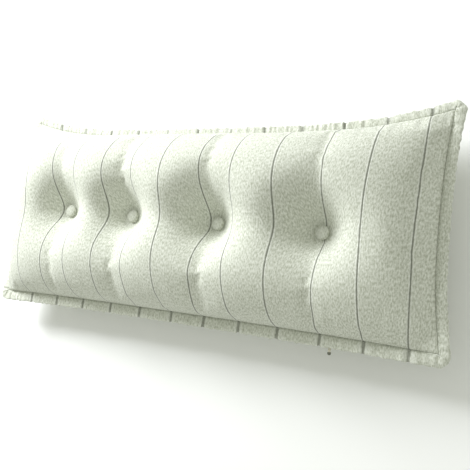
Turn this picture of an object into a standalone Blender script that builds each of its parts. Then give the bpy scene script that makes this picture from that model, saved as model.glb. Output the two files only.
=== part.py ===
# Long buttoned back-rest cushion, lying on its back: one filled body, a flat border sewn into
# its seam, four covered buttons and the pull of the zip in the bottom seam.
#
# Frame: metres. +X runs along the cushion, +Y is up its front as it stands in use, +Z is out
# of its front, away from the surface that it lies on. The origin is on that surface, under the
# middle of the cushion's box.

import math

import bpy
import numpy as np

# Cushion, measured over the border.
LENGTH = 1.106
HEIGHT = 0.500
SEAM_LEVEL = 0.076
LOWEST = 0.0

# Border strips.
BORDER_WIDTH = 0.024
BORDER_THICKNESS = 0.0032
BORDER_WAVE = 0.0022
BORDER_WAVES_ALONG = 9.0
CORNER_RADIUS = 0.020
GAP = 0.0004

# How far the outline is drawn in at the middle of each side, and how late it turns out again.
TOP_DRAWN_IN = 0.052
TOP_POWER = 4.0
BOTTOM_DRAWN_IN = 0.007
BOTTOM_POWER = 3.0
END_DRAWN_IN = 0.020
END_POWER = 2.5
END_MIDDLE = 0.03

# Crown of the front, over the seam's level.
UPPER_CROWN = 0.146
LOWER_CROWN = 0.128
CROWN_TURN = 0.020
CROWN_SLOPE = 0.11
ACROSS_POWER = 2.7
ACROSS_STEEPNESS = 0.59
LEFT_POWER = 3.8
LEFT_STEEPNESS = 0.42
RIGHT_POWER = 2.8
RIGHT_STEEPNESS = 0.55

# Crown of the back, under the seam's level, before it is pressed flat on the surface.
BACK_CROWN = 0.112
PRESSED_SOFTNESS = 0.010

# Buttons, and the dimples and creases that they pull into the front.
BUTTON_ROW = -0.022
ROW_SLANT = -0.022
BUTTON_PLACES = (-0.334, -0.146, 0.078, 0.310)
BUTTON_RADIUS = 0.015
BUTTON_HEIGHT = 0.0095
DIMPLE_FLOOR = 0.031
DIMPLE_FLOOR_RADIUS = 0.0175
DIMPLE_HALF_LENGTH = 0.047
DIMPLE_HALF_HEIGHT = 0.043
DIMPLE_POWER = 1.3
CREASE_DEPTH = 0.031
CREASE_REACH = 0.050
CREASE_ROUNDING = 0.006
ROW_VALLEY_DEPTH = 0.015
ROW_VALLEY_REACH = 0.045

# Zip pull.
PULL_PLACE = 0.338
PULL_LENGTH = 0.030
PULL_SHOWS = 0.013
PULL_WIDTH = 0.0066
PULL_THICKNESS = 0.0018
PULL_TIP_WIDTH = 0.0080
PULL_TIP_THICKNESS = 0.0034

# Mesh: the lines round each button, from its middle out, with how round each one is, and the
# number of cells in each span of the body's net.
RING_RADII = (0.0, 0.0090, DIMPLE_FLOOR_RADIUS, 0.0255, 0.0355, 0.0480)
RING_ROUNDNESS = (1.0, 1.0, 1.0, 1.0, 0.85, 0.50)
CELLS_LEFT_END = 8
CELLS_BETWEEN_BUTTONS = (5, 7, 7)
CELLS_RIGHT_END = 8
CELLS_BELOW_ROW = 7
CELLS_ABOVE_ROW = 7
END_CELL_GROWTH = 1.30
BUTTON_SEGMENTS = 24

# Colours from the photograph, as linear values, with roughness.
CLOTH_COLOUR = (0.66, 0.68, 0.60)
BUTTON_COLOUR = (0.56, 0.59, 0.50)
BORDER_COLOUR = (0.62, 0.64, 0.56)
PULL_COLOUR = (0.72, 0.69, 0.58)
CLOTH_ROUGHNESS = 0.93
PULL_ROUGHNESS = 0.45


def clear_scene():
    for thing in list(bpy.data.objects):
        bpy.data.objects.remove(thing, do_unlink=True)


def make_material(name, colour, roughness, metallic=0.0):
    material = bpy.data.materials.new(name)
    material.use_nodes = True
    shader = material.node_tree.nodes["Principled BSDF"]
    shader.inputs["Base Color"].default_value = (*colour, 1.0)
    shader.inputs["Roughness"].default_value = roughness
    shader.inputs["Metallic"].default_value = metallic
    return material


def make_object(name, points, faces, material, smooth_under=60.0):
    mesh = bpy.data.meshes.new(name)
    mesh.from_pydata([tuple(p) for p in points], [], faces)
    mesh.validate()
    mesh.materials.append(material)
    mesh.shade_smooth()
    mesh.set_sharp_from_angle(angle=math.radians(smooth_under))
    made = bpy.data.objects.new(name, mesh)
    bpy.context.scene.collection.objects.link(made)
    return made


# Outline of the border's outer edge, each side as a function of the place along it.


def top_edge(x):
    return HEIGHT / 2 - TOP_DRAWN_IN * (1 - abs(2 * x / LENGTH) ** TOP_POWER)


def bottom_edge(x):
    return -HEIGHT / 2 + BOTTOM_DRAWN_IN * (1 - abs(2 * x / LENGTH) ** BOTTOM_POWER)


def end_edge(y):
    off_middle = min(abs(2 * (y - END_MIDDLE) / HEIGHT), 1.0)
    return LENGTH / 2 - END_DRAWN_IN * (1 - off_middle**END_POWER)


def top_seam(x):
    return top_edge(x) - BORDER_WIDTH


def bottom_seam(x):
    return bottom_edge(x) + BORDER_WIDTH


def end_seam(y):
    return end_edge(y) - BORDER_WIDTH


def row_level(x):
    """Level of the button row, which slants a little."""
    return BUTTON_ROW + ROW_SLANT * x


# Height of the filled body over and under the seam's level.


def edge_fall(x, y):
    """1 in the open middle of the panel, 0 on the seam, and steep close to it."""
    top = top_seam(x)
    bottom = bottom_seam(x)
    across = min(abs((2 * y - top - bottom) / (top - bottom)), 1.0)
    along = min(abs(x) / end_seam(y), 1.0)
    across_fall = (1 - across**ACROSS_POWER) ** ACROSS_STEEPNESS
    power = LEFT_POWER if x < 0 else RIGHT_POWER
    steepness = LEFT_STEEPNESS if x < 0 else RIGHT_STEEPNESS
    return across_fall * (1 - along**power) ** steepness


def step(value, width):
    return 1 / (1 + math.exp(-value / width))


def front_height(x, y):
    fall = edge_fall(x, y)
    crown = LOWER_CROWN + (UPPER_CROWN - LOWER_CROWN) * step(y - row_level(x), CROWN_TURN)
    height = crown * (1 + CROWN_SLOPE * x) * fall
    in_row = step(x - BUTTON_PLACES[0], 0.03) * step(BUTTON_PLACES[-1] - x, 0.03)
    valley = math.exp(-(((y - row_level(x)) / ROW_VALLEY_REACH) ** 2))
    height -= ROW_VALLEY_DEPTH * in_row * valley * fall
    for place in BUTTON_PLACES:
        aside = math.hypot(x - place, CREASE_ROUNDING) - CREASE_ROUNDING
        height -= CREASE_DEPTH * math.exp(-aside / CREASE_REACH) * fall
    open_share = 1.0
    for place in BUTTON_PLACES:
        across = x - place
        up = y - row_level(place)
        distance = math.hypot(across / DIMPLE_HALF_LENGTH, up / DIMPLE_HALF_HEIGHT)
        floor_share = DIMPLE_FLOOR_RADIUS / max(math.hypot(across, up), DIMPLE_FLOOR_RADIUS)
        open_share *= 1 - math.exp(-((distance * (1 - floor_share)) ** DIMPLE_POWER))
    return DIMPLE_FLOOR + (height - DIMPLE_FLOOR) * open_share


def back_depth(x, y):
    """Depth under the seam's level, rounded off where the surface presses it flat."""
    deepest = SEAM_LEVEL - LOWEST
    depth = BACK_CROWN * edge_fall(x, y)
    if depth >= deepest:
        return deepest
    near = max(depth - deepest + PRESSED_SOFTNESS, 0.0) / PRESSED_SOFTNESS
    return depth - 0.25 * PRESSED_SOFTNESS * near**2 * (1 - near)


# Net of the body, seen from the front: rows and columns, bent into rings round each button.


def end_span(start, stop, cells):
    """Lines from start to stop whose cells get smaller toward stop, at the seam."""
    sizes = np.power(END_CELL_GROWTH, np.arange(cells)[::-1])
    return start + (stop - start) * np.cumsum(sizes) / sizes.sum()


def ring_lines(centre):
    outward = list(RING_RADII[1:])
    return [centre - r for r in reversed(outward)] + [centre] + [centre + r for r in outward]


def column_lines():
    reach = RING_RADII[-1]
    end = end_seam(BUTTON_ROW)
    lines = list(end_span(BUTTON_PLACES[0] - reach, -end, CELLS_LEFT_END))[::-1]
    for number, place in enumerate(BUTTON_PLACES):
        lines += ring_lines(place)
        if number < len(CELLS_BETWEEN_BUTTONS):
            start = place + reach
            stop = BUTTON_PLACES[number + 1] - reach
            cells = CELLS_BETWEEN_BUTTONS[number]
            lines += [start + (stop - start) * i / cells for i in range(1, cells)]
    lines += list(end_span(BUTTON_PLACES[-1] + reach, end, CELLS_RIGHT_END))
    return lines


def row_lines():
    reach = RING_RADII[-1]
    below = list(end_span(BUTTON_ROW - reach, bottom_seam(0), CELLS_BELOW_ROW))[::-1]
    above = list(end_span(BUTTON_ROW + reach, top_seam(0), CELLS_ABOVE_ROW))
    return below + ring_lines(BUTTON_ROW) + above


def stretched(value, inner, outer, target):
    """Moves value, between inner and outer, so that outer lands on target."""
    return inner + (value - inner) * (target - inner) / (outer - inner)


def plan_point(x, y, rows, columns):
    """Place of a net line crossing: its outer stretches follow the seam, its middle the row."""
    reach = RING_RADII[-1]
    inner_x = BUTTON_PLACES[-1] + reach if x > 0 else BUTTON_PLACES[0] - reach
    outer_x = columns[-1] if x > 0 else columns[0]
    side = 1 if x > 0 else -1
    inner_y = BUTTON_ROW + reach if y > BUTTON_ROW else BUTTON_ROW - reach
    outer_y = rows[-1] if y > BUTTON_ROW else rows[0]
    level = top_seam if y > BUTTON_ROW else bottom_seam
    px, py = x, y
    for _ in range(8):
        if abs(x) > abs(inner_x):
            px = stretched(x, inner_x, outer_x, side * end_seam(py))
        slant = ROW_SLANT * px
        if abs(y - BUTTON_ROW) > reach:
            py = stretched(y + slant, inner_y + slant, outer_y + slant, level(px))
        else:
            py = y + slant
    return px, py


def bend_into_rings(plan, rows, columns):
    """Rounds the net's square lines near each button into rings."""
    row = rows.index(BUTTON_ROW)
    for place in BUTTON_PLACES:
        column = columns.index(place)
        for ring in range(1, len(RING_RADII)):
            for dr in range(-ring, ring + 1):
                for dc in range(-ring, ring + 1):
                    if max(abs(dr), abs(dc)) < ring:
                        continue
                    angle = square_angle(dc / ring, dr / ring)
                    x, y = plan[row + dr][column + dc]
                    round_x = place + RING_RADII[ring] * math.cos(angle)
                    round_y = row_level(place) + RING_RADII[ring] * math.sin(angle)
                    share = RING_ROUNDNESS[ring]
                    moved = (x + (round_x - x) * share, y + (round_y - y) * share)
                    plan[row + dr][column + dc] = moved


def square_angle(across, up):
    """Angle of a point on the square of half side 1, spaced evenly along its sides."""
    if abs(across) >= abs(up):
        turn = 0.0 if across > 0 else math.pi
        return turn + math.pi / 4 * (up if across > 0 else -up)
    turn = math.pi / 2 if up > 0 else -math.pi / 2
    return turn + math.pi / 4 * (-across if up > 0 else across)


def body_net():
    rows = row_lines()
    columns = column_lines()
    plan = [[plan_point(x, y, rows, columns) for x in columns] for y in rows]
    bend_into_rings(plan, rows, columns)
    return plan


def seam_loop(plan):
    """The net's outer crossings, once round, anticlockwise from the lower left corner."""
    last = len(plan) - 1
    loop = [(0, c) for c in range(len(plan[0]))]
    loop += [(r, len(plan[0]) - 1) for r in range(1, last + 1)]
    loop += [(last, c) for c in range(len(plan[0]) - 2, -1, -1)]
    loop += [(r, 0) for r in range(last - 1, 0, -1)]
    return loop


def build_body(plan, material):
    rows = len(plan)
    columns = len(plan[0])
    half = BORDER_THICKNESS / 2
    front = np.zeros((rows, columns), int)
    back = np.zeros((rows, columns), int)
    points = []
    for r in range(rows):
        for c in range(columns):
            x, y = plan[r][c]
            on_seam = r in (0, rows - 1) or c in (0, columns - 1)
            over = 0.0 if on_seam else front_height(x, y)
            under = 0.0 if on_seam else back_depth(x, y)
            front[r, c] = len(points)
            points.append((x, y, SEAM_LEVEL + max(over, half)))
            back[r, c] = len(points)
            points.append((x, y, max(SEAM_LEVEL - max(under, half), LOWEST)))
    faces = []
    for r in range(rows - 1):
        for c in range(columns - 1):
            square = [(r, c), (r, c + 1), (r + 1, c + 1), (r + 1, c)]
            faces.append([front[s] for s in square])
            faces.append([back[s] for s in reversed(square)])
    loop = seam_loop(plan)
    for this, following in zip(loop, loop[1:] + loop[:1]):
        faces.append([back[this], back[following], front[following], front[this]])
    return make_object("body", points, faces, material)


# Border strips. Each station runs from the seam outward and carries a point on each face.


def wave(along, side):
    """Height of a strip's outer edge over the seam's level, for a place from 0 to 1 along it."""
    return BORDER_WAVE * math.sin(2 * math.pi * BORDER_WAVES_ALONG * along + 1.7 * side)


def strip_solid(name, stations, heights, material):
    """Closed strip from stations, each a list of plan points from the seam outward."""
    across = len(stations[0])
    half = BORDER_THICKNESS / 2
    points = []
    for station, lift in zip(stations, heights):
        for face in (half, -half):
            for step_out, (x, y) in enumerate(station):
                share = step_out / (across - 1)
                points.append((x, y, SEAM_LEVEL + face + lift * share**1.5))
    faces = []
    per = 2 * across
    for s in range(len(stations) - 1):
        a, b = s * per, (s + 1) * per
        for i in range(across - 1):
            faces.append([a + i, a + i + 1, b + i + 1, b + i])
            faces.append([b + across + i, b + across + i + 1, a + across + i + 1, a + across + i])
        faces.append([a + across, a, b, b + across])
        faces.append([a + across - 1, a + per - 1, b + per - 1, b + across - 1])
    end = (len(stations) - 1) * per
    faces.append([i for i in range(across, per)] + [i for i in range(across - 1, -1, -1)])
    faces.append([end + i for i in range(across)] + [end + i for i in range(per - 1, across - 1, -1)])
    return make_object(name, points, faces, material)


def long_border(name, seam_points, edge, side, material):
    """Top or bottom strip, whose ends butt against the end strips."""
    stations = []
    heights = []
    for x, y in seam_points:
        inner = y + side * GAP
        outer = edge(x)
        stations.append([(x, inner), (x, (inner + outer) / 2), (x, outer)])
        heights.append(wave(x / LENGTH + 0.5, side))
    if side > 0:
        stations.reverse()
        heights.reverse()
    return strip_solid(name, stations, heights, material)


def end_border(name, seam_points, side, material):
    """End strip, which runs past both corners of the seam and has rounded outer corners."""
    stations = []
    heights = []
    low = bottom_edge(side * LENGTH / 2)
    high = top_edge(side * LENGTH / 2)
    foot = seam_points[0]
    head = seam_points[-1]
    places = [(foot[0], low + CORNER_RADIUS * k) for k in (0.0, 0.3, 0.7)]
    places += list(seam_points)
    places += [(head[0], high - CORNER_RADIUS * k) for k in (0.7, 0.3, 0.0)]
    for x, y in places:
        from_corner = max(CORNER_RADIUS - min(y - low, high - y), 0.0)
        cut = CORNER_RADIUS - math.sqrt(max(CORNER_RADIUS**2 - from_corner**2, 0.0))
        inner = x + side * GAP
        outer = side * (end_edge(y) - cut)
        stations.append([(inner, y), ((inner + outer) / 2, y), (outer, y)])
        heights.append(wave(y / HEIGHT + 0.5, side) * 0.5)
    if side < 0:
        stations.reverse()
        heights.reverse()
    return strip_solid(name, stations, heights, material)


def build_borders(plan, material):
    bottom = plan[0][1:-1]
    top = plan[-1][1:-1]
    left_end = plan[0][0][0] + GAP
    right_end = plan[0][-1][0] - GAP
    bottom = [(left_end, bottom_seam(left_end))] + bottom + [(right_end, bottom_seam(right_end))]
    left_end = plan[-1][0][0] + GAP
    right_end = plan[-1][-1][0] - GAP
    top = [(left_end, top_seam(left_end))] + top + [(right_end, top_seam(right_end))]
    long_border("border_bottom", bottom, bottom_edge, -1, material)
    long_border("border_top", top, top_edge, 1, material)
    end_border("border_left", [row[0] for row in plan], -1, material)
    end_border("border_right", [row[-1] for row in plan], 1, material)


# Covered buttons.


def button_profile():
    """Radius and height over the dimple's floor, from the underside's rim up over the dome."""
    profile = [(BUTTON_RADIUS * 0.80, 0.0)]
    rim = 0.0022
    for turn in (-55, -10, 35):
        angle = math.radians(turn)
        profile.append((BUTTON_RADIUS - rim + rim * math.cos(angle), rim + rim * math.sin(angle)))
    for share in (0.72, 0.48, 0.24):
        dome = BUTTON_HEIGHT * math.sqrt(1 - (share * 0.86) ** 2)
        profile.append((BUTTON_RADIUS * share, dome))
    return profile


def build_button(name, place, material):
    floor = SEAM_LEVEL + DIMPLE_FLOOR + GAP
    profile = button_profile()
    points = []
    for radius, height in profile:
        for s in range(BUTTON_SEGMENTS):
            angle = 2 * math.pi * s / BUTTON_SEGMENTS
            points.append((radius * math.cos(angle), radius * math.sin(angle), height))
    faces = [list(range(BUTTON_SEGMENTS))[::-1]]
    for ring in range(len(profile) - 1):
        for s in range(BUTTON_SEGMENTS):
            t = (s + 1) % BUTTON_SEGMENTS
            low = ring * BUTTON_SEGMENTS
            high = low + BUTTON_SEGMENTS
            faces.append([low + s, low + t, high + t, high + s])
    crown = len(points)
    points.append((0.0, 0.0, BUTTON_HEIGHT))
    last = (len(profile) - 1) * BUTTON_SEGMENTS
    for s in range(BUTTON_SEGMENTS):
        faces.append([last + s, last + (s + 1) % BUTTON_SEGMENTS, crown])
    made = make_object(name, points, faces, material)
    made.location = (place, row_level(place), floor)
    return made


# Zip pull: a flat tab behind the bottom border whose thick tip shows below it.


def pull_stations():
    """Distance from the root, half width and half thickness, from the root to the tip."""
    neck = PULL_LENGTH - PULL_TIP_WIDTH
    half_width = PULL_WIDTH / 2
    half_thick = PULL_THICKNESS / 2
    stations = [(0.0, half_width * 0.75, half_thick), (0.002, half_width, half_thick)]
    stations.append((neck, half_width * 0.80, half_thick))
    for turn in range(25, 166, 28):
        angle = math.radians(turn)
        along = neck + PULL_TIP_WIDTH / 2 * (1 - math.cos(angle))
        swell = math.sin(angle)
        stations.append((along, PULL_TIP_WIDTH / 2 * swell, PULL_TIP_THICKNESS / 2 * swell**0.5))
    return stations


def build_zip_pull(material):
    corners = 12
    below = BORDER_THICKNESS / 2 + BORDER_WAVE + PULL_TIP_THICKNESS / 2 + GAP
    root = bottom_edge(PULL_PLACE) - PULL_SHOWS + PULL_LENGTH
    points = []
    for along, half_width, half_thick in pull_stations():
        for s in range(corners):
            angle = 2 * math.pi * s / corners
            across = half_width * math.cos(angle)
            up = half_thick * math.copysign(abs(math.sin(angle)) ** 0.6, math.sin(angle))
            points.append((PULL_PLACE + across, root - along, SEAM_LEVEL - below + up))
    faces = [list(range(corners))[::-1]]
    rings = len(points) // corners
    for ring in range(rings - 1):
        for s in range(corners):
            t = (s + 1) % corners
            low = ring * corners
            faces.append([low + s, low + t, low + corners + t, low + corners + s])
    faces.append([(rings - 1) * corners + s for s in range(corners)])
    return make_object("zip_pull", points, faces, material)


def centre_in_box():
    """Moves the whole cushion up so that its box, which the pull reaches out of, is centred."""
    pull_tip = bottom_edge(PULL_PLACE) - PULL_SHOWS
    for thing in bpy.context.scene.objects:
        thing.location.y -= (HEIGHT / 2 + pull_tip) / 2


def build():
    clear_scene()
    cloth = make_material("panel cloth", CLOTH_COLOUR, CLOTH_ROUGHNESS)
    border = make_material("border cloth", BORDER_COLOUR, CLOTH_ROUGHNESS)
    covered = make_material("button cloth", BUTTON_COLOUR, CLOTH_ROUGHNESS)
    pull = make_material("zip pull finish", PULL_COLOUR, PULL_ROUGHNESS)
    plan = body_net()
    build_body(plan, cloth)
    build_borders(plan, border)
    for number, place in enumerate(BUTTON_PLACES, start=1):
        build_button(f"button_{number}", place, covered)
    build_zip_pull(pull)
    centre_in_box()


build()
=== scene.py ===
# %% [markdown]
# # A long buttoned back-rest cushion
# This lesson dresses a packed cushion model as the real thing: a pale, heathered, linen-like
# cloth with thin dark stripes, filled full, pinched by four covered buttons, and edged by a flat
# border of double cloth. Everything is in metres. The buttons, the level of the seam and the
# cushion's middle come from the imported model.

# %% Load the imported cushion
import math

import bpy
import numpy as np
from mathutils import Matrix, Vector
from mathutils.bvhtree import BVHTree


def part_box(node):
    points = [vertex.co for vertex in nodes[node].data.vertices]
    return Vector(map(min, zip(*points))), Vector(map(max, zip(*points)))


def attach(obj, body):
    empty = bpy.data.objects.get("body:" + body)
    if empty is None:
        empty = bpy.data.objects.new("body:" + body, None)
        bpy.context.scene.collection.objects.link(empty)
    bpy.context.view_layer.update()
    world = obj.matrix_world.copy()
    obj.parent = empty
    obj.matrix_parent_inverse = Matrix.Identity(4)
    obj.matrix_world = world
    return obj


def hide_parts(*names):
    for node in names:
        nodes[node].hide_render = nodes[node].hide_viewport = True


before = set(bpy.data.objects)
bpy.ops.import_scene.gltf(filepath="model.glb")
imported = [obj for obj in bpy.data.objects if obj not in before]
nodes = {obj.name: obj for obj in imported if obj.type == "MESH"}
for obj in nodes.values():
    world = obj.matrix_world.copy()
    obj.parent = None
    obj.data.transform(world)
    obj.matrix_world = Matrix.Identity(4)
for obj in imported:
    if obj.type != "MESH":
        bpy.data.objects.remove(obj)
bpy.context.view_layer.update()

# %% [markdown]
# ## Camera and studio
# The cushion lies on its back, and the camera looks at its face from the right end and a little
# below, as in the photograph. The place, the point aimed at and the roll were worked out from the
# cushion's corners, stripes and buttons. The camera's own upward direction is given, so that the
# roll is plain to read.

# %% Camera at the photograph's angle
CAMERA_PLACE = Vector((0.7072, -0.1975, 1.1879))
CAMERA_AIM = Vector((0.1039, -0.0366, 0.0760))
CAMERA_UP = Vector((-0.0620, 0.9825, 0.1757))
LENS_MM = 45.96
SENSOR_MM = 36.0


def make_camera():
    camera = bpy.data.cameras.new("camera")
    camera.lens = LENS_MM
    camera.sensor_width = SENSOR_MM
    made = bpy.data.objects.new("camera", camera)
    back = (CAMERA_PLACE - CAMERA_AIM).normalized()
    right = CAMERA_UP.cross(back).normalized()
    up = back.cross(right)
    turn = Matrix((right, up, back)).transposed().to_4x4()
    made.matrix_world = Matrix.Translation(CAMERA_PLACE) @ turn
    bpy.context.scene.collection.objects.link(made)
    bpy.context.scene.camera = made
    return made


make_camera()
print("camera stands", round((CAMERA_PLACE - CAMERA_AIM).length, 3), "m from the point it aims at")

# %% Pale floor and soft light
FLOOR_SIZE = 14.0
FLOOR_DROP = 0.0006
KEY_PLACE = Vector((-1.70, 1.25, 1.45))
KEY_SIZE = 1.1
KEY_WATTS = 92.0
KEY_COLOUR = (0.96, 0.98, 1.0)
SKY_COLOUR = (0.97, 1.0, 0.90)
SKY_STRENGTH = 0.62


def plain_material(name, colour, roughness):
    material = bpy.data.materials.new(name)
    material.use_nodes = True
    shader = material.node_tree.nodes["Principled BSDF"]
    shader.inputs["Base Color"].default_value = (*colour, 1.0)
    shader.inputs["Roughness"].default_value = roughness
    return material


def make_floor():
    half = FLOOR_SIZE / 2
    corners = [(-half, -half), (half, -half), (half, half), (-half, half)]
    mesh = bpy.data.meshes.new("floor")
    mesh.from_pydata([(x, y, -FLOOR_DROP) for x, y in corners], [], [(0, 1, 2, 3)])
    mesh.materials.append(plain_material("pale floor", (0.93, 0.93, 0.93), 0.9))
    floor = bpy.data.objects.new("floor", mesh)
    bpy.context.scene.collection.objects.link(floor)


def make_area_light(name, place, aim, size, watts, colour):
    light = bpy.data.lights.new(name, "AREA")
    light.shape = "DISK"
    light.size = size
    light.energy = watts
    light.color = colour
    made = bpy.data.objects.new(name, light)
    made.location = place
    made.rotation_euler = (place - aim).to_track_quat("Z", "Y").to_euler()
    bpy.context.scene.collection.objects.link(made)


def make_sky():
    world = bpy.data.worlds.new("studio")
    world.use_nodes = True
    background = world.node_tree.nodes["Background"]
    background.inputs["Color"].default_value = (*SKY_COLOUR, 1.0)
    background.inputs["Strength"].default_value = SKY_STRENGTH
    bpy.context.scene.world = world


make_floor()
make_area_light("key light", KEY_PLACE, Vector((0.0, 0.0, 0.1)), KEY_SIZE, KEY_WATTS, KEY_COLOUR)
make_sky()
bpy.context.scene.view_settings.view_transform = "Standard"
print("floor", FLOOR_SIZE, "m across, key light", KEY_WATTS, "W")

# %% [markdown]
# ## The cloth's pattern, as a node group
# The panels, the border and the buttons are cut from one cloth, so its weave is one node group.
# It reads a cut coordinate in metres: x across the stripes and y along them, as the cloth lay
# flat on the cutting table. It gives a colour, a height for the bump and a roughness. A plain
# weave of warp and weft, long slubs in the yarn, and a heather of paler and darker fibres are
# laid on top of each other. The hollows between the yarns are darkened: painted shade.

# %% Small helpers for node trees


def new_node(tree, node_type, **settings):
    """A new node of the tree, with its settings."""
    node = tree.nodes.new(node_type)
    for name, value in settings.items():
        setattr(node, name, value)
    return node


def calc(tree, operation, *values, clamp=False):
    """A Math node on sockets or numbers; gives its output socket."""
    node = tree.nodes.new("ShaderNodeMath")
    node.operation = operation
    node.use_clamp = clamp
    for place, value in enumerate(values):
        if isinstance(value, (int, float)):
            node.inputs[place].default_value = value
        else:
            tree.links.new(value, node.inputs[place])
    return node.outputs[0]


def blend_colour(tree, share, first, second, way="MIX"):
    """A colour Mix node; first and second are sockets or colours, share a socket or a number."""
    node = tree.nodes.new("ShaderNodeMix")
    node.data_type = "RGBA"
    node.blend_type = way
    for place, value in ((0, share), (6, first), (7, second)):
        if isinstance(value, (int, float)):
            node.inputs[place].default_value = value
        elif isinstance(value, tuple):
            node.inputs[place].default_value = (*value, 1.0)
        else:
            tree.links.new(value, node.inputs[place])
    return node.outputs[2]


def ramp(tree, value, low, high):
    """0 at low, 1 at high, and smooth between them."""
    node = tree.nodes.new("ShaderNodeMapRange")
    node.interpolation_type = "SMOOTHSTEP"
    node.inputs["From Min"].default_value = low
    node.inputs["From Max"].default_value = high
    tree.links.new(value, node.inputs["Value"])
    return node.outputs["Result"]


def noise(tree, vector, scale, detail=2.0, roughness=0.5):
    node = tree.nodes.new("ShaderNodeTexNoise")
    node.inputs["Scale"].default_value = scale
    node.inputs["Detail"].default_value = detail
    node.inputs["Roughness"].default_value = roughness
    tree.links.new(vector, node.inputs["Vector"])
    return node.outputs["Fac"]


def stretched(tree, vector, factors):
    node = tree.nodes.new("ShaderNodeVectorMath")
    node.operation = "MULTIPLY"
    node.inputs[1].default_value = factors
    tree.links.new(vector, node.inputs[0])
    return node.outputs[0]


# %% The woven cloth group
YARN_PITCH = 0.0012
SLUB_LENGTH = 0.022
HEATHER_ACROSS = 0.0026
HEATHER_ALONG = 0.0058
CLOUD_SIZE = 0.07
WEAVE_DEPTH = 0.30
WARP_SLUB_SHADE, WEFT_SLUB_SHADE = 0.70, 0.40
HEATHER_SHADE, CLOUD_SHADE = 2.4, 0.30
MIDDLE_SHADE = 0.42
SLUB_HEIGHT, HEATHER_HEIGHT = 0.8, 0.5


def make_weave_group():
    group = bpy.data.node_groups.new("woven cloth", "ShaderNodeTree")
    face = group.interface
    face.new_socket("Cut Place", in_out="INPUT", socket_type="NodeSocketVector")
    face.new_socket("Pale Yarn", in_out="INPUT", socket_type="NodeSocketColor")
    face.new_socket("Deep Yarn", in_out="INPUT", socket_type="NodeSocketColor")
    face.new_socket("Heather", in_out="INPUT", socket_type="NodeSocketFloat")
    face.new_socket("Colour", in_out="OUTPUT", socket_type="NodeSocketColor")
    face.new_socket("Height", in_out="OUTPUT", socket_type="NodeSocketFloat")
    face.new_socket("Roughness", in_out="OUTPUT", socket_type="NodeSocketFloat")
    given = new_node(group, "NodeGroupInput")
    place = given.outputs["Cut Place"]
    split = new_node(group, "ShaderNodeSeparateXYZ")
    group.links.new(place, split.inputs[0])

    turns = math.pi / YARN_PITCH
    warp_wave = calc(group, "SINE", calc(group, "MULTIPLY", split.outputs[0], turns))
    weft_wave = calc(group, "SINE", calc(group, "MULTIPLY", split.outputs[1], turns))
    over = calc(group, "MULTIPLY", warp_wave, weft_wave)
    warp_round = calc(group, "SQRT", calc(group, "ABSOLUTE", warp_wave))
    weft_round = calc(group, "SQRT", calc(group, "ABSOLUTE", weft_wave))
    warp_share = calc(group, "MULTIPLY_ADD", over, WEAVE_DEPTH, 0.70)
    weft_share = calc(group, "MULTIPLY_ADD", over, -WEAVE_DEPTH, 0.70)
    warp = calc(group, "MULTIPLY", warp_round, warp_share)
    weft = calc(group, "MULTIPLY", weft_round, weft_share)
    weave = calc(group, "MAXIMUM", warp, weft)

    across = 1 / YARN_PITCH
    along = 1 / SLUB_LENGTH
    warp_slub = noise(group, stretched(group, place, (across, along, 1.0)), 1.0, 2.0)
    weft_slub = noise(group, stretched(group, place, (along * 1.4, across, 1.0)), 1.0, 2.0)
    heather_stretch = (1 / HEATHER_ACROSS, 1 / HEATHER_ALONG, 1.0)
    grain = noise(group, stretched(group, place, heather_stretch), 1.0, 1.0)
    cloud = noise(group, place, 1 / CLOUD_SIZE, 2.0)

    yarn_mix = calc(group, "MULTIPLY_ADD", warp_slub, WARP_SLUB_SHADE, -WARP_SLUB_SHADE / 2)
    weft_mix = calc(group, "MULTIPLY_ADD", weft_slub, WEFT_SLUB_SHADE, -WEFT_SLUB_SHADE / 2)
    grain_mix = calc(group, "MULTIPLY_ADD", grain, HEATHER_SHADE, -HEATHER_SHADE / 2)
    cloud_mix = calc(group, "MULTIPLY_ADD", cloud, CLOUD_SHADE, -CLOUD_SHADE / 2)
    heather = calc(group, "ADD", calc(group, "ADD", yarn_mix, weft_mix), grain_mix)
    heather = calc(group, "MULTIPLY", heather, given.outputs["Heather"])
    shade = calc(group, "ADD", calc(group, "ADD", heather, cloud_mix), MIDDLE_SHADE)
    # Painted shade: the hollows between the yarns are darkened in the colour, for the shade the
    # weave casts there.
    painted_hollow_shade = calc(group, "MULTIPLY_ADD", weave, -0.35, 0.28)
    shade = calc(group, "ADD", shade, painted_hollow_shade, clamp=True)
    colour = blend_colour(group, shade, given.outputs["Pale Yarn"], given.outputs["Deep Yarn"])

    slub_height = calc(group, "MULTIPLY", warp_slub, SLUB_HEIGHT)
    height = calc(group, "ADD", weave, slub_height)
    height = calc(group, "ADD", height, calc(group, "MULTIPLY", grain, HEATHER_HEIGHT))
    rough = calc(group, "MULTIPLY_ADD", grain, 0.12, 0.86, clamp=True)
    out = new_node(group, "NodeGroupOutput")
    group.links.new(colour, out.inputs["Colour"])
    group.links.new(height, out.inputs["Height"])
    group.links.new(rough, out.inputs["Roughness"])
    return group


weave_group = make_weave_group()
print("weave group has", len(weave_group.nodes), "nodes")

# %% [markdown]
# ## The stripes, as a node group
# Each stripe is one dark yarn with a paler yarn on either side. The cut coordinate counts metres
# from the first stripe less one pitch, so a stripe lies wherever x is a whole number of pitches.
# The border uses the same group, with a wider stripe, because it is gathered there.

# %% The stripe group
STRIPE_PITCH = 0.0848
STRIPE_COUNT = 12
DARK_YARN_FADE = (0.55, 1.25)
PALE_YARN_START, PALE_YARN_END = (1.1, 1.7), (2.4, 3.6)


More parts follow.
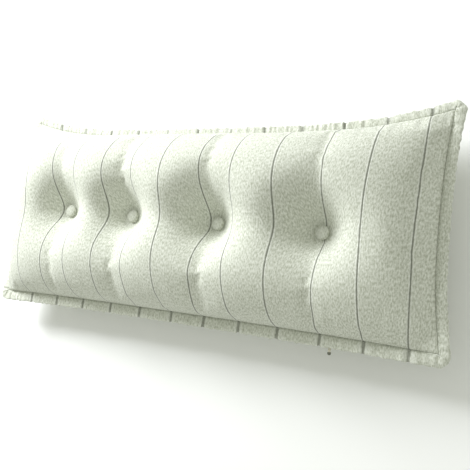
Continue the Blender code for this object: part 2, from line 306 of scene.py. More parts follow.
def make_stripe_group():
    group = bpy.data.node_groups.new("thin stripes", "ShaderNodeTree")
    face = group.interface
    face.new_socket("Cut Place", in_out="INPUT", socket_type="NodeSocketVector")
    face.new_socket("Half Width", in_out="INPUT", socket_type="NodeSocketFloat")
    face.new_socket("Dark", in_out="OUTPUT", socket_type="NodeSocketFloat")
    face.new_socket("Pale", in_out="OUTPUT", socket_type="NodeSocketFloat")
    given = new_node(group, "NodeGroupInput")
    split = new_node(group, "ShaderNodeSeparateXYZ")
    group.links.new(given.outputs["Cut Place"], split.inputs[0])
    count = calc(group, "DIVIDE", split.outputs[0], STRIPE_PITCH)
    nearest = calc(group, "ROUND", count)
    off = calc(group, "ABSOLUTE", calc(group, "SUBTRACT", count, nearest))
    off = calc(group, "MULTIPLY", off, STRIPE_PITCH)
    real = calc(group, "COMPARE", nearest, (STRIPE_COUNT + 1) / 2, STRIPE_COUNT / 2)
    uneven = noise(group, stretched(group, given.outputs["Cut Place"], (12.0, 60.0, 1.0)), 1.0)
    half = calc(group, "MULTIPLY", given.outputs["Half Width"], calc(group, "ADD", uneven, 0.55))
    share = calc(group, "DIVIDE", off, half)
    dark = calc(group, "SUBTRACT", 1.0, ramp(group, share, *DARK_YARN_FADE))
    pale_in = ramp(group, share, *PALE_YARN_START)
    pale_out = calc(group, "SUBTRACT", 1.0, ramp(group, share, *PALE_YARN_END))
    out = new_node(group, "NodeGroupOutput")
    group.links.new(calc(group, "MULTIPLY", dark, real), out.inputs["Dark"])
    pale = calc(group, "MULTIPLY", pale_in, pale_out)
    group.links.new(calc(group, "MULTIPLY", pale, real), out.inputs["Pale"])
    return group


stripe_group = make_stripe_group()
print("stripe group has", len(stripe_group.nodes), "nodes")

# %% [markdown]
# ## The cloth materials
# One function makes the material of each cloth piece from the two groups. The Principled shader
# stays in the material. A soft sheen stands for the fuzz of the fibres, which shows pale where
# the cloth turns away.

# %% Cloth materials
PALE_YARN = (0.800, 0.815, 0.745)
DEEP_YARN = (0.470, 0.490, 0.400)
STRIPE_COLOUR = (0.145, 0.150, 0.125)
PALE_SIDE_COLOUR = (0.86, 0.87, 0.83)
PALE_SIDE_SHARE = 0.45
STRIPE_GROOVE, PALE_SIDE_RIDGE = -1.6, 0.9
CLOTH_SHEEN, SHEEN_ROUGHNESS = 0.22, 0.45
CLOTH_SPECULAR = 0.18


def make_cloth(name, heather, bump_mm, stripe_half_width, stripe_share, darker=1.0):
    material = bpy.data.materials.new(name)
    material.use_nodes = True
    tree = material.node_tree
    shader = tree.nodes["Principled BSDF"]
    shader.inputs["Sheen Weight"].default_value = CLOTH_SHEEN
    shader.inputs["Sheen Roughness"].default_value = SHEEN_ROUGHNESS
    shader.inputs["Specular IOR Level"].default_value = CLOTH_SPECULAR
    cut = new_node(tree, "ShaderNodeUVMap", uv_map="cut").outputs[0]
    weave = new_node(tree, "ShaderNodeGroup", node_tree=weave_group)
    tree.links.new(cut, weave.inputs["Cut Place"])
    # darker scales both yarn colours; below 1 it paints shade into the cloth, as for the buttons.
    weave.inputs["Pale Yarn"].default_value = (*(c * darker for c in PALE_YARN), 1.0)
    weave.inputs["Deep Yarn"].default_value = (*(c * darker for c in DEEP_YARN), 1.0)
    weave.inputs["Heather"].default_value = heather
    colour = weave.outputs["Colour"]
    height = weave.outputs["Height"]
    if stripe_share > 0:
        stripes = new_node(tree, "ShaderNodeGroup", node_tree=stripe_group)
        tree.links.new(cut, stripes.inputs["Cut Place"])
        stripes.inputs["Half Width"].default_value = stripe_half_width
        pale = calc(tree, "MULTIPLY", stripes.outputs["Pale"], PALE_SIDE_SHARE * stripe_share)
        colour = blend_colour(tree, pale, colour, PALE_SIDE_COLOUR)
        dark = calc(tree, "MULTIPLY", stripes.outputs["Dark"], stripe_share)
        colour = blend_colour(tree, dark, colour, STRIPE_COLOUR)
        groove = calc(tree, "MULTIPLY", stripes.outputs["Dark"], STRIPE_GROOVE)
        ridge = calc(tree, "MULTIPLY", stripes.outputs["Pale"], PALE_SIDE_RIDGE)
        height = calc(tree, "ADD", height, calc(tree, "ADD", groove, ridge))
    bump = new_node(tree, "ShaderNodeBump")
    bump.inputs["Distance"].default_value = bump_mm / 1000
    bump.inputs["Strength"].default_value = 1.0
    tree.links.new(height, bump.inputs["Height"])
    tree.links.new(bump.outputs[0], shader.inputs["Normal"])
    tree.links.new(colour, shader.inputs["Base Color"])
    tree.links.new(weave.outputs["Roughness"], shader.inputs["Roughness"])
    return material


panel_cloth = make_cloth("panel cloth", 1.0, 0.30, 0.0012, 0.80)
border_cloth = make_cloth("border cloth", 1.0, 0.30, 0.0030, 0.60)
# Painted shade: the buttons' cloth is the panel cloth made darker, for the shade at the bottom of
# the dimples.
button_cloth = make_cloth("button cloth", 0.8, 0.25, 0.0012, 0.0, darker=0.92)
print("cloth materials:", panel_cloth.name, border_cloth.name, button_cloth.name)

# %% [markdown]
# ## The cushion's own sizes
# A long cushion is drawn in at the middle of each side, because the filling takes up cloth
# there, and its corners are left standing out. The outline and the crown are smooth rules of the
# place along and across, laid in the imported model's frame, so that every point of the dressed
# cushion can be asked for at any fineness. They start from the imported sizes. The border's widths
# at the top, left and right, the right end and the creases are then set to the photograph.

# %% Outline of the border and of the seam
LENGTH = 1.106
HEIGHT = 0.500
BOTTOM_BORDER_WIDTH = 0.024
TOP_BORDER_WIDTH = 0.018
LEFT_BORDER_WIDTH = 0.020
RIGHT_BORDER_WIDTH = 0.0195
TOP_DRAWN_IN, TOP_POWER = 0.052, 4.0
BOTTOM_DRAWN_IN, BOTTOM_POWER = 0.007, 3.0
END_DRAWN_IN, END_POWER = 0.020, 2.5
END_MIDDLE = 0.03
RIGHT_END_OUT = 0.0035

left_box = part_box("border_left")
top_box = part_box("border_top")
middle_y = (left_box[0][1] + left_box[1][1]) / 2
seam_level = (top_box[0][2] + top_box[1][2]) / 2


def top_edge(x):
    return middle_y + HEIGHT / 2 - TOP_DRAWN_IN * (1 - np.abs(2 * x / LENGTH) ** TOP_POWER)


def bottom_edge(x):
    return middle_y - HEIGHT / 2 + BOTTOM_DRAWN_IN * (1 - np.abs(2 * x / LENGTH) ** BOTTOM_POWER)


def end_reach(y):
    off_middle = np.minimum(np.abs(2 * (y - middle_y - END_MIDDLE) / HEIGHT), 1.0)
    return LENGTH / 2 - END_DRAWN_IN * (1 - off_middle**END_POWER)


def right_edge(y):
    return end_reach(y) + RIGHT_END_OUT


def left_edge(y):
    return -end_reach(y)


def top_seam(x):
    return top_edge(x) - TOP_BORDER_WIDTH


def bottom_seam(x):
    return bottom_edge(x) + BOTTOM_BORDER_WIDTH


def right_seam(y):
    return right_edge(y) - RIGHT_BORDER_WIDTH


def left_seam(y):
    return left_edge(y) + LEFT_BORDER_WIDTH


def seam_corner(end, level):
    """Corner where an end's seam meets a long side's seam."""
    x = end(middle_y)
    for _ in range(12):
        x = end(level(x))
    return float(x), float(level(x))


corners = {
    "bottom left": seam_corner(left_seam, bottom_seam),
    "bottom right": seam_corner(right_seam, bottom_seam),
    "top right": seam_corner(right_seam, top_seam),
    "top left": seam_corner(left_seam, top_seam),
}
print("seam corners:", {name: tuple(round(v, 4) for v in at) for name, at in corners.items()})

# %% Crown of the front and the back
UPPER_CROWN, LOWER_CROWN = 0.146, 0.128
CROWN_TURN = 0.020
CROWN_SLOPE = 0.11
ACROSS_POWER, ACROSS_STEEPNESS = 2.7, 0.59
LEFT_POWER, LEFT_STEEPNESS = 3.8, 0.42
RIGHT_POWER, RIGHT_STEEPNESS = 3.0, 0.72
BACK_CROWN = 0.112
PRESSED_SOFTNESS = 0.010
DIMPLE_FLOOR = 0.031
DIMPLE_FLOOR_RADIUS = 0.0175
DIMPLE_HALF_LENGTH, DIMPLE_HALF_HEIGHT = 0.047, 0.043
DIMPLE_POWER = 1.3
CREASE_DEPTH, CREASE_REACH, CREASE_ROUNDING = 0.031, 0.050, 0.006
CREASE_LEFT_AT_SEAM, CREASE_FADE = 0.45, 0.120
ROW_VALLEY_DEPTH, ROW_VALLEY_REACH = 0.015, 0.045
ROW_END_SOFTNESS = 0.03
COMPARED_REACH, COMPARED_LEVEL = 0.45, 0.09

button_boxes = [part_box(f"button_{number}") for number in range(1, 5)]
button_places = [tuple((low + high) / 2) for low, high in button_boxes]


def row_level(x):
    places = [place[0] for place in button_places]
    levels = [place[1] for place in button_places]
    slope = (levels[-1] - levels[0]) / (places[-1] - places[0])
    return levels[0] + slope * (x - places[0])


def edge_fall(x, y):
    """1 in the open middle of the panel, 0 on the seam, and steep close to it."""
    top, bottom = top_seam(x), bottom_seam(x)
    across = np.minimum(np.abs((2 * y - top - bottom) / (top - bottom)), 1.0)
    along = np.minimum(x / np.where(x < 0, left_seam(y), right_seam(y)), 1.0)
    power = np.where(x < 0, LEFT_POWER, RIGHT_POWER)
    steepness = np.where(x < 0, LEFT_STEEPNESS, RIGHT_STEEPNESS)
    return (1 - across**ACROSS_POWER) ** ACROSS_STEEPNESS * (1 - along**power) ** steepness


def step(value, width):
    return 1 / (1 + np.exp(-value / width))


def front_height(x, y):
    fall = edge_fall(x, y)
    above_row = y - row_level(x)
    crown = LOWER_CROWN + (UPPER_CROWN - LOWER_CROWN) * step(above_row, CROWN_TURN)
    height = crown * (1 + CROWN_SLOPE * x) * fall
    past_first = step(x - button_places[0][0], ROW_END_SOFTNESS)
    in_row = past_first * step(button_places[-1][0] - x, ROW_END_SOFTNESS)
    valley = ROW_VALLEY_DEPTH * in_row * np.exp(-((above_row / ROW_VALLEY_REACH) ** 2)) * fall
    height = height - valley
    open_share = np.ones_like(fall)
    for bx, by, _ in button_places:
        aside = np.hypot(x - bx, CREASE_ROUNDING) - CREASE_ROUNDING
        near_row = np.exp(-(((y - by) / CREASE_FADE) ** 2))
        fade = CREASE_LEFT_AT_SEAM + (1 - CREASE_LEFT_AT_SEAM) * near_row
        height = height - CREASE_DEPTH * fade * np.exp(-aside / CREASE_REACH) * fall
        out = np.hypot((x - bx) / DIMPLE_HALF_LENGTH, (y - by) / DIMPLE_HALF_HEIGHT)
        away = np.maximum(np.hypot(x - bx, y - by), DIMPLE_FLOOR_RADIUS)
        floor_share = DIMPLE_FLOOR_RADIUS / away
        open_share = open_share * (1 - np.exp(-((out * (1 - floor_share)) ** DIMPLE_POWER)))
    return DIMPLE_FLOOR + (height - DIMPLE_FLOOR) * open_share


def back_depth(x, y):
    """Depth under the seam, rounded off where the floor presses it flat."""
    depth = BACK_CROWN * edge_fall(x, y)
    near = np.clip((depth - seam_level + PRESSED_SOFTNESS) / PRESSED_SOFTNESS, 0, 1)
    rounded = depth - 0.25 * PRESSED_SOFTNESS * near**2 * (1 - near)
    return np.where(depth >= seam_level, seam_level, rounded)


def compare_with_packed_body():
    """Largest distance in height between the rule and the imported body, on open cloth."""
    mesh = nodes["body"].data
    points = [v.co.copy() for v in mesh.vertices]
    packed = BVHTree.FromPolygons(points, [tuple(p.vertices) for p in mesh.polygons])
    worst = 0.0
    for x in np.linspace(-COMPARED_REACH, COMPARED_REACH, 31):
        hit = packed.ray_cast(Vector((x, COMPARED_LEVEL, 1.0)), Vector((0, 0, -1)))[0]
        by_rule = float(front_height(x, np.array(COMPARED_LEVEL)))
        worst = max(worst, abs(hit.z - seam_level - by_rule))
    return worst


print("rule and packed body differ by at most", round(compare_with_packed_body() * 1000, 1), "mm")

# %% [markdown]
# ## Cutting the panels
# A cushion cover is two panels sewn together round the edge. Here each panel is a net of small
# squares between the four seam sides, lifted onto the crown. The front and back nets share the
# seam's points, so the cover is closed. The net is finer near the seam, where the cloth turns
# down steeply.

# %% Net of the two panels
ALONG_CELLS = 352
ACROSS_CELLS = 140
EDGE_FINENESS = 0.10


def fine_at_ends(cells):
    """Shares from 0 to 1 whose steps are smaller near both ends."""
    even = np.linspace(0, 1, cells + 1)
    return even - EDGE_FINENESS * np.sin(2 * np.pi * even) / (2 * np.pi) * 4


def side_run(start, stop, axis, level, shares):
    """Points along one seam side, from one corner to the other."""
    run = start[axis] + (stop[axis] - start[axis]) * shares
    other = level(run)
    return np.stack([run, other] if axis == 0 else [other, run], 1)


def plan_net(along_cells, across_cells):
    """Plan of the net, by row, column and then x and y, blended between the seam sides."""
    u, v = fine_at_ends(along_cells), fine_at_ends(across_cells)
    low_left, low_right = corners["bottom left"], corners["bottom right"]
    high_left, high_right = corners["top left"], corners["top right"]
    bottom = side_run(low_left, low_right, 0, bottom_seam, u)
    top = side_run(high_left, high_right, 0, top_seam, u)
    left = side_run(low_left, high_left, 1, left_seam, v)
    right = side_run(low_right, high_right, 1, right_seam, v)
    uu, vv = u[None, :, None], v[:, None, None]
    from_sides = (1 - vv) * bottom[None] + vv * top[None]
    from_sides = from_sides + (1 - uu) * left[:, None] + uu * right[:, None]
    from_corners = (1 - uu) * (1 - vv) * bottom[0] + uu * (1 - vv) * bottom[-1]
    from_corners = from_corners + (1 - uu) * vv * top[0] + uu * vv * top[-1]
    return from_sides - from_corners


plan = plan_net(ALONG_CELLS, ACROSS_CELLS)
front_net = np.dstack([plan, seam_level + front_height(plan[..., 0], plan[..., 1])])
back_net = np.dstack([plan, seam_level - back_depth(plan[..., 0], plan[..., 1])])
for net in (front_net, back_net):
    for edge in (net[0], net[-1], net[:, 0], net[:, -1]):
        edge[:, 2] = seam_level
crown_top = round(float(front_net[..., 2].max()), 4)
print("net of", plan.shape[:2], "points, crown up to", crown_top, "m")

# %% [markdown]
# ## Cut coordinates
# The pattern has to lie on the cloth as it was woven: straight on the table, and drawn aside by
# the buttons once sewn. So each point gets a cut coordinate. Across the stripes it is found from
# where each stripe crosses the cushion, and along them it is the length of cloth from the seam.

# %% Cut coordinates
STRIPE_PLACES = np.array(
    (-0.447, -0.363, -0.279, -0.195, -0.110, -0.026, 0.058, 0.142, 0.228, 0.318, 0.405, 0.487)
)
BUTTON_PULL = 0.19
PULL_REACH = 0.12


def drawn_aside(x, y):
    """How far the buttons draw the cloth along the cushion at a place."""
    moved = np.zeros_like(x)
    for bx, by, _ in button_places:
        near = np.exp(-(((bx - x) / PULL_REACH) ** 2))
        near_row = np.exp(-(np.abs((y - by) / PULL_REACH) ** 1.5))
        moved = moved + BUTTON_PULL * (bx - x) * near * near_row
    return moved


def cut_across(x, y):
    table_x = x - drawn_aside(x, y)
    counts = np.interp(table_x, STRIPE_PLACES, np.arange(1, STRIPE_COUNT + 1))
    before = np.minimum(table_x - STRIPE_PLACES[0], 0)
    after = np.maximum(table_x - STRIPE_PLACES[-1], 0)
    return counts * STRIPE_PITCH + before + after


def cut_along(net):
    steps = np.hypot(np.diff(net[..., 2], axis=0), np.diff(net[..., 1], axis=0))
    return np.concatenate([np.zeros((1, net.shape[1])), np.cumsum(steps, axis=0)])


cut_x = cut_across(plan[..., 0], plan[..., 1])
front_cut = np.dstack([cut_x, cut_along(front_net)])
back_cut = np.dstack([cut_x, cut_along(back_net)])
cloth_taken = round(float(front_cut[-1, :, 1].mean()), 3)
print("front panel takes", cloth_taken, "m of cloth between the long seams")

# %% Sewing two nets into one closed cover


def net_squares(ids, flip):
    ring = [ids[:-1, :-1], ids[:-1, 1:], ids[1:, 1:], ids[1:, :-1]]
    return np.stack([part.ravel() for part in (ring[::-1] if flip else ring)], 1)


def net_square_cuts(cut, flip):
    ring = [cut[:-1, :-1], cut[:-1, 1:], cut[1:, 1:], cut[1:, :-1]]
    return np.stack([part.reshape(-1, 2) for part in (ring[::-1] if flip else ring)], 1)


def sewn_cover(name, front, back, cuts):
    """One closed mesh from two nets that share their outer points, with its cut map."""
    rows, columns = front.shape[:2]
    front_ids = np.arange(rows * columns).reshape(rows, columns)
    back_ids = front_ids.copy()
    inner = (rows - 2) * (columns - 2)
    back_ids[1:-1, 1:-1] = rows * columns + np.arange(inner).reshape(rows - 2, columns - 2)
    points = np.concatenate([front.reshape(-1, 3), back[1:-1, 1:-1].reshape(-1, 3)])
    faces = np.concatenate([net_squares(front_ids, False), net_squares(back_ids, True)])
    mesh = bpy.data.meshes.new(name)
    mesh.from_pydata(points.tolist(), [], faces.tolist())
    flat = np.concatenate([net_square_cuts(cuts[0], False), net_square_cuts(cuts[1], True)])
    mesh.uv_layers.new(name="cut").data.foreach_set("uv", flat.astype(np.float32).ravel())
    return mesh, front_ids, back_ids


def add_object(name, mesh):
    made = bpy.data.objects.new(name, mesh)
    bpy.context.scene.collection.objects.link(made)
    return made


print("sewing helpers ready")

# %% [markdown]
# ## Filling the cushion
# Cloth simulation lets the cover settle as filled cloth does. The seam and the spots under the
# buttons are held, pressure pushes from inside, and gravity is off. The cloth is cut a little
# larger than the crown, so it wrinkles where it has too much. How far a point may move is
# capped. The simulation runs on every second point of the net, and its movement is then spread
# over the fine net, which keeps the creases at the buttons sharp.

# %% Fill the cover
PRESSURE = 3.5
EXTRA_CLOTH = 0.006
FILL_FRAMES = 20
MOST_MOVED = 0.006
BUTTON_HOLD = 0.0185


def points_of(mesh):
    flat = np.empty(len(mesh.vertices) * 3, np.float32)
    mesh.vertices.foreach_get("co", flat)
    return flat.reshape(-1, 3).astype(float)


def held_points(points, ids):
    held = set(np.concatenate([ids[0], ids[-1], ids[:, 0], ids[:, -1]]).tolist())
    for bx, by, _ in button_places:
        near = np.hypot(points[:, 0] - bx, points[:, 1] - by) < BUTTON_HOLD
        held |= set(np.nonzero(near & (points[:, 2] > seam_level))[0].tolist())
    return [int(i) for i in held]


def set_cloth(cloth, group_name):
    settings = cloth.settings
    settings.quality = 6
    settings.mass = 0.35
    settings.tension_stiffness = 30
    settings.compression_stiffness = 30
    settings.shear_stiffness = 12
    settings.bending_stiffness = 6
    settings.tension_damping = 12
    settings.compression_damping = 12
    settings.air_damping = 3
    settings.use_pressure = True
    settings.uniform_pressure_force = PRESSURE
    settings.shrink_min = -EXTRA_CLOTH
    settings.effector_weights.gravity = 0.0
    settings.vertex_group_mass = group_name
    cloth.collision_settings.use_collision = False
    cloth.point_cache.frame_start = 1
    cloth.point_cache.frame_end = FILL_FRAMES


def settle(piece, ids):
    """Movement of every point of the piece once it has been filled."""
    before = points_of(piece.data)
    group = piece.vertex_groups.new(name="held")
    group.add(held_points(before, ids), 1.0, "REPLACE")
    set_cloth(piece.modifiers.new("filling", "CLOTH"), group.name)
    scene = bpy.context.scene
    for number in range(1, FILL_FRAMES + 1):
        scene.frame_set(number)
    settled = piece.evaluated_get(bpy.context.evaluated_depsgraph_get())
    moved = points_of(settled.to_mesh()) - before
    settled.to_mesh_clear()
    scene.frame_set(1)
    length = np.linalg.norm(moved, axis=1, keepdims=True)
    print("filling moved the cloth up to", round(float(length.max()) * 1000, 1), "mm")
    return moved * MOST_MOVED * np.tanh(length / MOST_MOVED) / np.maximum(length, 1e-9)


def spread(coarse):
    """Movement on every second point of the net, spread over the whole net."""
    rows, columns = coarse.shape[:2]
    fine = np.zeros((rows * 2 - 1, columns * 2 - 1, 3))
    fine[::2, ::2] = coarse
    fine[1::2, ::2] = (coarse[:-1] + coarse[1:]) / 2
    fine[:, 1::2] = (fine[:, :-1:2] + fine[:, 2::2]) / 2
    return fine


def fill_cover():
    front, back = front_net[::2, ::2], back_net[::2, ::2]
    cuts = (front_cut[::2, ::2], back_cut[::2, ::2])
    mesh, front_ids, back_ids = sewn_cover("cover_to_fill", front, back, cuts)
    piece = add_object("cover_to_fill", mesh)
    moved = settle(piece, front_ids)
    bpy.data.objects.remove(piece)
    return spread(moved[front_ids]), spread(moved[back_ids])


front_moved, back_moved = np.zeros_like(front_net), np.zeros_like(back_net)
front_moved, back_moved = fill_cover()
print("filling done")

# %% [markdown]
# ## Puckers and gathers
# Where a seam draws cloth in, the spare cloth stands up in short waves across the seam, and a
# button gathers it in waves that run outward like rays. The waves are sums of a few sines with
# seeded places, so that they look uneven but come out the same each time. They move the cloth
# along its own normal.

# %% Uneven waves
def uneven_wave(run, wavelengths, seed):
    """Sum of sines of about the given wavelengths, from -1 to 1 or so."""
    chance = np.random.default_rng(seed)
    total = np.zeros_like(run, dtype=float)
    for length in wavelengths:
        real = length * chance.uniform(0.85, 1.15)
        total = total + np.sin(2 * np.pi * run / real + chance.uniform(0, 2 * np.pi))
    return total / math.sqrt(len(wavelengths))


def net_normals(net):
    along = np.gradient(net, axis=1)
    across = np.gradient(net, axis=0)
    normal = np.cross(along, across)
    return normal / np.maximum(np.linalg.norm(normal, axis=2, keepdims=True), 1e-12)


PUCKER_LENGTHS = (0.016, 0.023, 0.031, 0.047)
PUCKER_HEIGHT = 0.00035
PUCKER_REACH = 0.016
RAY_HEIGHT = 0.0006
RAY_REACH = 0.024
RAY_LENGTHS = (1 / 7, 1 / 9, 1 / 12)
RAY_FADE = 1.6


def seam_puckers(net):
    """Waves that run across each seam side, highest a little inside it."""
    x, y = net[..., 0], net[..., 1]
    total = np.zeros_like(x)
    sides = ((y - bottom_seam(x), x, 11), (top_seam(x) - y, x, 12))
    sides += ((x - left_seam(y), y, 13), (right_seam(y) - x, y, 14))
    for inside, run, seed in sides:
        share = np.maximum(inside, 0) / PUCKER_REACH
        total += uneven_wave(run, PUCKER_LENGTHS, seed) * share * np.exp(1 - share)
    return total * PUCKER_HEIGHT


def button_rays(net):
    total = np.zeros(net.shape[:2])
    for number, (bx, by, _) in enumerate(button_places):
        across, up = net[..., 0] - bx, net[..., 1] - by
        out = np.hypot(across, up)
        turn = np.arctan2(up, across) / (2 * np.pi)
        rays = uneven_wave(turn, RAY_LENGTHS, 30 + number)
        share = np.maximum(out - DIMPLE_FLOOR_RADIUS, 0) / RAY_REACH
        total += rays * share * np.exp(1 - share * RAY_FADE)
    return total * RAY_HEIGHT


def puckered(net, moved, rays):
    net = net + moved
    lift = seam_puckers(net) + (button_rays(net) if rays else 0)
    lift[0], lift[-1], lift[:, 0], lift[:, -1] = 0, 0, 0, 0
    net = net + net_normals(net) * lift[..., None]
    net[..., 2] = np.maximum(net[..., 2], 0.0)
    return net


front_cloth = puckered(front_net, front_moved, True)
back_cloth = np.dstack([back_net[..., :2], 2 * seam_level - back_net[..., 2]])
back_mirror = back_moved * (1, 1, -1)
back_cloth = puckered(back_cloth, back_mirror, False)
back_cloth[..., 2] = np.maximum(2 * seam_level - back_cloth[..., 2], 0.0)
cloth_points = front_cloth.reshape(-1, 3)
print("cloth reaches from", cloth_points.min(0).round(4), "to", cloth_points.max(0).round(4))

# %% The finished cover
cuts = (front_cut, back_cut)
cover = sewn_cover("cushion_cover", front_cloth, back_cloth, cuts)[0]
cover.materials.append(panel_cloth)
cover.shade_smooth()
cushion = add_object("cushion_cover", cover)
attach(cushion, "root")
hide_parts("body")
print("cushion cover has", len(cover.polygons) * 2, "triangles")

# %% [markdown]
# ## The flat border
# Outside the seam the two panels lie on each other as a flat border, folded at its outer edge.
# Its cloth is gathered by the seam, so it is full of short pleats, sharpest where a stripe
# crosses. The border is one closed band: at each place round the cushion a thin section runs from
# the seam to the outer fold. At the corners the sections fan out round the seam's corner.

# %% Places round the border
STATION_PITCH = 0.0026
CORNER_STATIONS = 20
CORNER_RADIUS = 0.020
INNER_CORNER_RADIUS = 0.003


def rounded_corner(inner, along_to, across_to, radius, shares):
    """Points on the path from below the corner to beside it, rounded at the outer corner."""
    first = np.array((inner[0], across_to))
    tip = np.array((along_to, across_to))
    last = np.array((along_to, inner[1]))
    straight = (np.linalg.norm(tip - first) - radius, np.linalg.norm(last - tip) - radius)
    arc = radius * math.pi / 2
    total = straight[0] + arc + straight[1]
    into = (tip - first) / np.linalg.norm(tip - first)
    out_of = (last - tip) / np.linalg.norm(last - tip)
    points = []
    for share in shares:
        run = share * total
        if run < straight[0]:
            points.append(first + into * run)
        elif run < straight[0] + arc:
            angle = (run - straight[0]) / radius
            centre = tip - into * radius + out_of * radius
            back = out_of * radius * math.cos(angle)
            points.append(centre - back + into * radius * math.sin(angle))
        else:
            points.append(last - out_of * (total - run))
    return np.array(points)


def side_stations(start, stop, axis, seam, edge):
    length = abs(stop[axis] - start[axis])
    shares = np.linspace(0, 1, int(length / STATION_PITCH) + 1)
    return side_run(start, stop, axis, seam, shares), side_run(start, stop, axis, edge, shares)


def border_stations():
    """Inner and outer plan points once round, anticlockwise from the lower left corner."""
    low_left, low_right = corners["bottom left"], corners["bottom right"]
    high_left, high_right = corners["top left"], corners["top right"]
    sides = (
        (low_left, low_right, 0, bottom_seam, bottom_edge),
        (low_right, high_right, 1, right_seam, right_edge),
        (high_right, high_left, 0, top_seam, top_edge),
        (high_left, low_left, 1, left_seam, left_edge),
    )
    turn = np.linspace(0, 1, CORNER_STATIONS + 2)[1:-1]
    inner, outer = [], []
    for number, side in enumerate(sides):
        side_inner, side_outer = side_stations(*side)
        end, edge_end = side_inner[-1], side_outer[-1]
        next_outer = side_stations(*sides[(number + 1) % 4])[1][0]
        if number % 2 == 0:
            corner_outer = rounded_corner(end, next_outer[0], edge_end[1], CORNER_RADIUS, turn)
        else:
            swapped = rounded_corner(end[::-1], next_outer[1], edge_end[0], CORNER_RADIUS, turn)
            corner_outer = swapped[:, ::-1]
        outward = corner_outer - end
        outward /= np.linalg.norm(outward, axis=1, keepdims=True)
        corner_inner = end + outward * INNER_CORNER_RADIUS
        inner += [side_inner, corner_inner]
        outer += [side_outer, corner_outer]
    return np.concatenate(inner), np.concatenate(outer)


border_inner, border_outer = border_stations()
border_steps = np.linalg.norm(np.diff((border_inner + border_outer) / 2, axis=0), axis=1)
border_run = np.concatenate([[0], np.cumsum(border_steps)])
print("border has", len(border_run), "places, and is", round(float(border_run[-1]), 3), "m round")

# %% Pleats and the band itself
BAND_HALF_THICKNESS = 0.0023
STITCHED_SHARE = 0.25
BAND_SHARES = (0.0, 0.07, 0.16, 0.28, 0.42, 0.56, 0.70, 0.82, 0.91, 0.965, 1.0)
LONG_WAVE_LENGTHS = (0.090, 0.125, 0.170)
LONG_WAVE_HEIGHT = 0.0016
PLEAT_LENGTHS = (0.0095, 0.0135, 0.019, 0.027)
PLEAT_HEIGHT = 0.0009
EDGE_UNEVEN = 0.0008
STRIPE_PLEAT_DEPTH = 0.0022
STRIPE_PLEAT_HALF_WIDTH = 0.0026
RIGHT_CURL = 0.005
RIGHT_CURL_FROM = 0.50
PUFFED_UP_TO = 0.42
FOLD_START, FOLD_LENGTH = 0.82, 0.18
PLEAT_RISE, STRIPE_PLEAT_RISE = 0.15, 0.1
STRIPE_DRAWN_IN = 0.0015
STRIPE_THINNING = 0.3
STRAIGHT_OUT = 0.002


def whole_round(run, wavelengths, seed):
    """Uneven wave that closes on itself once round the border."""
    total_run = run[-1] + STATION_PITCH
    chance = np.random.default_rng(seed)
    total = np.zeros_like(run)
    for length in wavelengths:
        turns = round(total_run / length)
        more = turns + int(chance.integers(2, 9))
        fewer = turns - int(chance.integers(2, 9))
        for count in (turns, more, fewer):
            total += np.sin(2 * np.pi * count * run / total_run + chance.uniform(0, 2 * np.pi))
    return total / math.sqrt(3 * len(wavelengths))


def stripe_pleats(inner):
    """Depth of the pleat at each place, 1 in the middle of a stripe on a long side."""
    across_cut = cut_across(inner[:, 0], inner[:, 1]) / STRIPE_PITCH
    nearest = np.clip(np.round(across_cut), 1, STRIPE_COUNT)
    off = (across_cut - nearest) * STRIPE_PITCH
    on_long_side = np.abs(border_outer[:, 0] - border_inner[:, 0]) < STRAIGHT_OUT
    return np.exp(-((off / STRIPE_PLEAT_HALF_WIDTH) ** 2)) * on_long_side


def band_half_thickness(share):
    rise = 1 - (1 - np.minimum(share / PUFFED_UP_TO, 1)) ** 2
    puffed = STITCHED_SHARE + (1 - STITCHED_SHARE) * rise
    in_fold = np.maximum(share - FOLD_START, 0) / FOLD_LENGTH
    folded = np.sqrt(np.maximum(1 - in_fold**2, 0))
    return BAND_HALF_THICKNESS * puffed * folded


def band_mesh():
    shares = np.array(BAND_SHARES)
    long_wave = whole_round(border_run, LONG_WAVE_LENGTHS, 5) * LONG_WAVE_HEIGHT
    pleats = whole_round(border_run, PLEAT_LENGTHS, 6) * PLEAT_HEIGHT
    uneven = whole_round(border_run, PLEAT_LENGTHS[1:], 7) * EDGE_UNEVEN
    stripe = stripe_pleats(border_inner)
    outward = border_outer - border_inner
    width = np.linalg.norm(outward, axis=1, keepdims=True)
    outer = border_outer + outward / width * (uneven - STRIPE_DRAWN_IN * stripe)[:, None]
    out = shares[None, :, None]
    plan_points = border_inner[:, None] * (1 - out) + outer[:, None] * out
    bend = long_wave[:, None] * shares**1.5 + pleats[:, None] * np.minimum(shares / PLEAT_RISE, 1)
    bend = bend - STRIPE_PLEAT_DEPTH * stripe[:, None] * np.minimum(shares / STRIPE_PLEAT_RISE, 1)
    curl_length = corners["bottom right"][0] - RIGHT_CURL_FROM
    on_right = np.clip((border_inner[:, 0] - RIGHT_CURL_FROM) / curl_length, 0, 1)
    bend = bend - RIGHT_CURL * on_right[:, None] * shares**2
    half = band_half_thickness(shares)[None] * (1 - STRIPE_THINNING * stripe[:, None])
    upper = np.dstack([plan_points, seam_level + bend + half])
    lower = np.dstack([plan_points, seam_level + bend - half])[:, -2::-1]
    section = np.concatenate([upper, lower], axis=1)
    places, around = section.shape[:2]
    ids = np.arange(places * around).reshape(places, around)
    following = np.roll(ids, -1, axis=0)
    beside = np.roll(ids, -1, axis=1)
    both = np.roll(following, -1, axis=1)
    faces = np.stack([ids, following, both, beside], 2).reshape(-1, 4)
    mesh = bpy.data.meshes.new("cushion_border")
    mesh.from_pydata(section.reshape(-1, 3).tolist(), [], faces.tolist())
    table_x = cut_across(section[..., 0], section[..., 1])
    cut = np.dstack([table_x, section[..., 1]]).reshape(-1, 2)
    layer = mesh.uv_layers.new(name="cut")
    layer.data.foreach_set("uv", cut[faces.ravel()].astype(np.float32).ravel())
    return mesh


